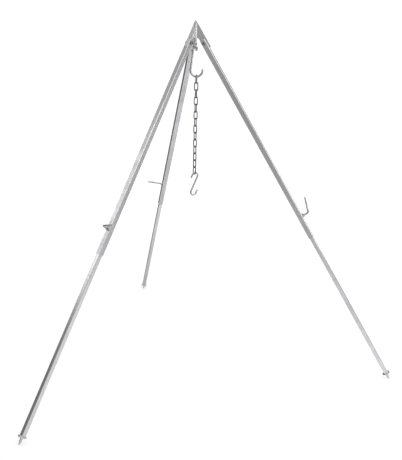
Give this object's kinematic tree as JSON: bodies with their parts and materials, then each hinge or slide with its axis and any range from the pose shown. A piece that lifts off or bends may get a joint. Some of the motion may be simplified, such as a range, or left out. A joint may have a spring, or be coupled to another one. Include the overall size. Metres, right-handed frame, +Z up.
{
  "type": "campfire tripod",
  "caption": "Folding campfire tripod with telescoping square steel legs hinged on a finned head, spiked feet, clamp screws, a hanging hook, a link chain and an S-hook.",
  "frame": {"origin": "centre of the box around the footprint, on the ground; the tripod's axis is at x = 0 and a little toward -Y of it", "axes": "+Z up; leg 1 stands toward +Y, legs 2 and 3 toward -Y on the -X and +X sides"},
  "size_m": [1.8314, 1.594, 1.7371],
  "materials": {
    "galvanised_steel": "satin, hot-dip galvanised",
    "zinc_plated_fasteners": "satin, zinc plated",
    "zinc_plated_wire": "satin, zinc plated round bar"
  },
  "bodies": {
    "head": {"hanging_eye": "galvanised_steel", "head_cap": "galvanised_steel", "head_post": "galvanised_steel", "head_wing_1": "galvanised_steel", "head_wing_2": "galvanised_steel", "head_wing_3": "galvanised_steel", "pivot_bolt_1": "zinc_plated_fasteners", "pivot_bolt_2": "zinc_plated_fasteners", "pivot_bolt_3": "zinc_plated_fasteners", "pivot_nut_1": "zinc_plated_fasteners", "pivot_nut_2": "zinc_plated_fasteners", "pivot_nut_3": "zinc_plated_fasteners", "pivot_spacer_1_left": "zinc_plated_fasteners", "pivot_spacer_1_right": "zinc_plated_fasteners", "pivot_spacer_2_left": "zinc_plated_fasteners", "pivot_spacer_2_right": "zinc_plated_fasteners", "pivot_spacer_3_left": "zinc_plated_fasteners", "pivot_spacer_3_right": "zinc_plated_fasteners", "pivot_washer_1_left": "zinc_plated_fasteners", "pivot_washer_1_right": "zinc_plated_fasteners", "pivot_washer_2_left": "zinc_plated_fasteners", "pivot_washer_2_right": "zinc_plated_fasteners", "pivot_washer_3_left": "zinc_plated_fasteners", "pivot_washer_3_right": "zinc_plated_fasteners"},
    "leg_1": {"upper_tube_1": "galvanised_steel", "clamp_nut_1": "zinc_plated_fasteners"},
    "extension_1": {"lower_tube_1": "galvanised_steel", "foot_plate_1": "galvanised_steel", "foot_spike_1": "galvanised_steel"},
    "clamp_1": {"clamp_screw_1": "zinc_plated_fasteners"},
    "leg_2": {"upper_tube_2": "galvanised_steel", "clamp_nut_2": "zinc_plated_fasteners"},
    "extension_2": {"lower_tube_2": "galvanised_steel", "foot_plate_2": "galvanised_steel", "foot_spike_2": "galvanised_steel"},
    "clamp_2": {"clamp_screw_2": "zinc_plated_fasteners"},
    "leg_3": {"upper_tube_3": "galvanised_steel", "clamp_nut_3": "zinc_plated_fasteners"},
    "extension_3": {"lower_tube_3": "galvanised_steel", "foot_plate_3": "galvanised_steel", "foot_spike_3": "galvanised_steel"},
    "clamp_3": {"clamp_screw_3": "zinc_plated_fasteners"},
    "hook": {"hook": "zinc_plated_wire"},
    "chain_link_01": {"chain_link_01": "zinc_plated_wire"},
    "chain_link_02": {"chain_link_02": "zinc_plated_wire"},
    "chain_link_03": {"chain_link_03": "zinc_plated_wire"},
    "chain_link_04": {"chain_link_04": "zinc_plated_wire"},
    "chain_link_05": {"chain_link_05": "zinc_plated_wire"},
    "chain_link_06": {"chain_link_06": "zinc_plated_wire"},
    "chain_link_07": {"chain_link_07": "zinc_plated_wire"},
    "chain_link_08": {"chain_link_08": "zinc_plated_wire"},
    "chain_link_09": {"chain_link_09": "zinc_plated_wire"},
    "chain_link_10": {"chain_link_10": "zinc_plated_wire"},
    "chain_link_11": {"chain_link_11": "zinc_plated_wire"},
    "chain_link_12": {"chain_link_12": "zinc_plated_wire"},
    "chain_link_13": {"chain_link_13": "zinc_plated_wire"},
    "chain_link_14": {"chain_link_14": "zinc_plated_wire"},
    "s_hook": {"s_hook": "zinc_plated_wire"}
  },
  "joints": [
    {"name": "leg_1_fold", "type": "hinge", "parent": "head", "child": "leg_1", "pos_m": [0, -0.21686, 1.63311], "axis": [-1, 0, 0], "range_deg": [0, 26]},
    {"name": "leg_1_extend", "type": "slide", "parent": "leg_1", "child": "extension_1", "axis": [0, 0.527, -0.8499], "range_m": [-0.75, 0.06]},
    {"name": "clamp_1_turn", "type": "hinge", "parent": "leg_1", "child": "clamp_1", "pos_m": [0, 0.29437, 0.8323], "axis": [0, 0.8499, 0.527], "range_deg": [0, 450]},
    {"name": "leg_2_fold", "type": "hinge", "parent": "head", "child": "leg_2", "pos_m": [-0.03724, -0.28136, 1.63311], "axis": [0.5, -0.866, 0], "range_deg": [0, 26]},
    {"name": "leg_2_extend", "type": "slide", "parent": "leg_2", "child": "extension_2", "axis": [-0.4564, -0.2635, -0.8499], "range_m": [-0.75, 0.06]},
    {"name": "clamp_2_turn", "type": "hinge", "parent": "leg_2", "child": "clamp_2", "pos_m": [-0.47998, -0.53698, 0.8323], "axis": [-0.736, -0.4249, 0.527], "range_deg": [0, 450]},
    {"name": "leg_3_fold", "type": "hinge", "parent": "head", "child": "leg_3", "pos_m": [0.03724, -0.28136, 1.63311], "axis": [0.5, 0.866, 0], "range_deg": [0, 26]},
    {"name": "leg_3_extend", "type": "slide", "parent": "leg_3", "child": "extension_3", "axis": [0.4564, -0.2635, -0.8499], "range_m": [-0.75, 0.06]},
    {"name": "clamp_3_turn", "type": "hinge", "parent": "leg_3", "child": "clamp_3", "pos_m": [0.47998, -0.53698, 0.8323], "axis": [0.736, -0.4249, 0.527], "range_deg": [0, 450]},
    {"name": "hook_swing", "type": "hinge", "parent": "head", "child": "hook", "pos_m": [0, -0.25986, 1.61081], "axis": [0.5, 0.866, 0], "range_deg": [-25, 25]},
    {"name": "link_01_swing", "type": "hinge", "parent": "hook", "child": "chain_link_01", "pos_m": [0.00693, -0.26386, 1.48081], "axis": [0.866, -0.5, 0], "range_deg": [-30, 30]},
    {"name": "link_02_swing", "type": "hinge", "parent": "chain_link_01", "child": "chain_link_02", "pos_m": [0.00693, -0.26386, 1.44896], "axis": [0.5373, 0.8434, 0], "range_deg": [-30, 30]},
    {"name": "link_03_swing", "type": "hinge", "parent": "chain_link_02", "child": "chain_link_03", "pos_m": [0.00693, -0.26386, 1.41506], "axis": [-0.8192, 0.5736, 0], "range_deg": [-30, 30]},
    {"name": "link_04_swing", "type": "hinge", "parent": "chain_link_03", "child": "chain_link_04", "pos_m": [0.00693, -0.26386, 1.38116], "axis": [-0.6088, -0.7934, 0], "range_deg": [-30, 30]},
    {"name": "link_05_swing", "type": "hinge", "parent": "chain_link_04", "child": "chain_link_05", "pos_m": [0.00693, -0.26386, 1.34726], "axis": [-0.766, 0.6428, 0], "range_deg": [-30, 30]},
    {"name": "link_06_swing", "type": "hinge", "parent": "chain_link_05", "child": "chain_link_06", "pos_m": [0.00693, -0.26386, 1.31336], "axis": [-0.6756, -0.7373, 0], "range_deg": [-30, 30]},
    {"name": "link_07_swing", "type": "hinge", "parent": "chain_link_06", "child": "chain_link_07", "pos_m": [0.00693, -0.26386, 1.27946], "axis": [0.7071, -0.7071, 0], "range_deg": [-30, 30]},
    {"name": "link_08_swing", "type": "hinge", "parent": "chain_link_07", "child": "chain_link_08", "pos_m": [0.00693, -0.26386, 1.24556], "axis": [0.7373, 0.6756, 0], "range_deg": [-30, 30]},
    {"name": "link_09_swing", "type": "hinge", "parent": "chain_link_08", "child": "chain_link_09", "pos_m": [0.00693, -0.26386, 1.21166], "axis": [0.6428, -0.766, 0], "range_deg": [-30, 30]},
    {"name": "link_10_swing", "type": "hinge", "parent": "chain_link_09", "child": "chain_link_10", "pos_m": [0.00693, -0.26386, 1.17776], "axis": [0.7934, 0.6088, 0], "range_deg": [-30, 30]},
    {"name": "link_11_swing", "type": "hinge", "parent": "chain_link_10", "child": "chain_link_11", "pos_m": [0.00693, -0.26386, 1.14386], "axis": [-0.5736, 0.8192, 0], "range_deg": [-30, 30]},
    {"name": "link_12_swing", "type": "hinge", "parent": "chain_link_11", "child": "chain_link_12", "pos_m": [0.00693, -0.26386, 1.10996], "axis": [-0.8434, -0.5373, 0], "range_deg": [-30, 30]},
    {"name": "link_13_swing", "type": "hinge", "parent": "chain_link_12", "child": "chain_link_13", "pos_m": [0.00693, -0.26386, 1.07606], "axis": [-0.5, 0.866, 0], "range_deg": [-30, 30]},
    {"name": "link_14_swing", "type": "hinge", "parent": "chain_link_13", "child": "chain_link_14", "pos_m": [0.00693, -0.26386, 1.04216], "axis": [-0.887, -0.4617, 0], "range_deg": [-30, 30]},
    {"name": "s_hook_swing", "type": "hinge", "parent": "chain_link_14", "child": "s_hook", "pos_m": [0.00693, -0.26386, 1.00826], "axis": [0.4226, -0.9063, 0], "range_deg": [-12, 25]}
  ]
}
